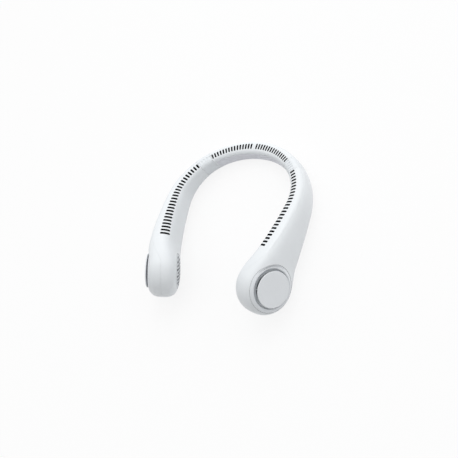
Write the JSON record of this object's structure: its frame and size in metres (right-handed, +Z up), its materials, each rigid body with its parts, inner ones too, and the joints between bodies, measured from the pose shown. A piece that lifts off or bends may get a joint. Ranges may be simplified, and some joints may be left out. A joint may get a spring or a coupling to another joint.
{
  "type": "neck fan",
  "caption": "U-shaped bladeless neck fan: two round blower heads with flat intake caps, slotted air duct arms, silicone flex zones and a slim padded neck band.",
  "frame": {"origin": "middle of the footprint, on the table it lies on", "axes": "+X towards the right arm, +Y towards the back of the neck band, +Z up; the open front faces -Y"},
  "size_m": [0.1752, 0.199, 0.0578],
  "materials": {
    "shell": "satin",
    "sleeve": "matte silicone",
    "pad": "matte silicone",
    "cap": "gloss",
    "grille": "satin",
    "button": "satin",
    "light_pipe": "clear",
    "inner_plastic": "moulded",
    "dark_plastic": "moulded",
    "cable": "matte",
    "cell_wrap": "shrink wrap",
    "board": "solder mask",
    "spring_steel": "rolled",
    "screw_steel": "zinc",
    "shaft_steel": "ground",
    "socket_steel": "stamped",
    "rotor_metal": "turned",
    "magnet": "ferrite",
    "copper": "wound copper",
    "bronze": "sintered"
  },
  "bodies": {
    "neckband": {"neck_cover": "shell", "neck_casing": "shell", "neck_pad": "pad", "neck_cable": "cable", "flex_sleeve_left": "sleeve", "flex_sleeve_right": "sleeve", "spring_strip_left": "spring_steel", "spring_strip_right": "spring_steel", "flex_cable_left": "cable", "flex_cable_right": "cable"},
    "arm_left": {"arm_cover_left": "shell", "arm_casing_left": "shell", "arm_cable_left": "cable", "duct_floor_left": "inner_plastic", "battery_cell_left": "cell_wrap", "intake_ring_left": "shell", "intake_cap_left": "cap", "inner_grille_left": "grille", "blower_scroll_left": "inner_plastic", "motor_base_left": "dark_plastic", "motor_stator_left": "copper", "motor_screws_left": "screw_steel", "shaft_bearings_left": "bronze"},
    "arm_right": {"arm_cover_right": "shell", "arm_casing_right": "shell", "arm_cable_right": "cable", "duct_floor_right": "inner_plastic", "battery_cell_right": "cell_wrap", "intake_ring_right": "shell", "intake_cap_right": "cap", "inner_grille_right": "grille", "blower_scroll_right": "inner_plastic", "motor_base_right": "dark_plastic", "motor_stator_right": "copper", "motor_screws_right": "screw_steel", "shaft_bearings_right": "bronze", "main_board": "board", "board_screws": "screw_steel", "tact_switch": "dark_plastic", "indicator_lights": "light_pipe", "usb_socket": "socket_steel"},
    "fan_left": {"motor_shaft_left": "shaft_steel", "rotor_cup_left": "rotor_metal", "rotor_magnet_left": "magnet", "impeller_left": "inner_plastic"},
    "fan_right": {"motor_shaft_right": "shaft_steel", "rotor_cup_right": "rotor_metal", "rotor_magnet_right": "magnet", "impeller_right": "inner_plastic"},
    "power_button": {"power_button": "button"}
  },
  "joints": [
    {"name": "arm_flex_left", "type": "hinge", "parent": "neckband", "child": "arm_left", "pos_m": [-0.05569, 0.06788, 0.01492], "axis": [0, 0, -1], "range_deg": [-8, 18], "stiffness_Nm_per_rad": 0.35, "deforming": ["flex_sleeve_left", "spring_strip_left", "flex_cable_left"]},
    {"name": "arm_flex_right", "type": "hinge", "parent": "neckband", "child": "arm_right", "pos_m": [0.05569, 0.06788, 0.01492], "axis": [0, 0, 1], "range_deg": [-8, 18], "stiffness_Nm_per_rad": 0.35, "deforming": ["flex_sleeve_right", "spring_strip_right", "flex_cable_right"]},
    {"name": "fan_spin_left", "type": "hinge", "parent": "arm_left", "child": "fan_left", "pos_m": [-0.06276, -0.07025, 0.02895], "axis": [-0.8714, -0.2354, 0.4305], "continuous": true},
    {"name": "fan_spin_right", "type": "hinge", "parent": "arm_right", "child": "fan_right", "pos_m": [0.06276, -0.07025, 0.02895], "axis": [0.8714, -0.2354, 0.4305], "continuous": true},
    {"name": "button_press", "type": "slide", "parent": "arm_right", "child": "power_button", "axis": [0.9607, -0.1764, 0.2145], "range_m": [0, 0.0005], "stiffness_N_per_m": 3000}
  ]
}
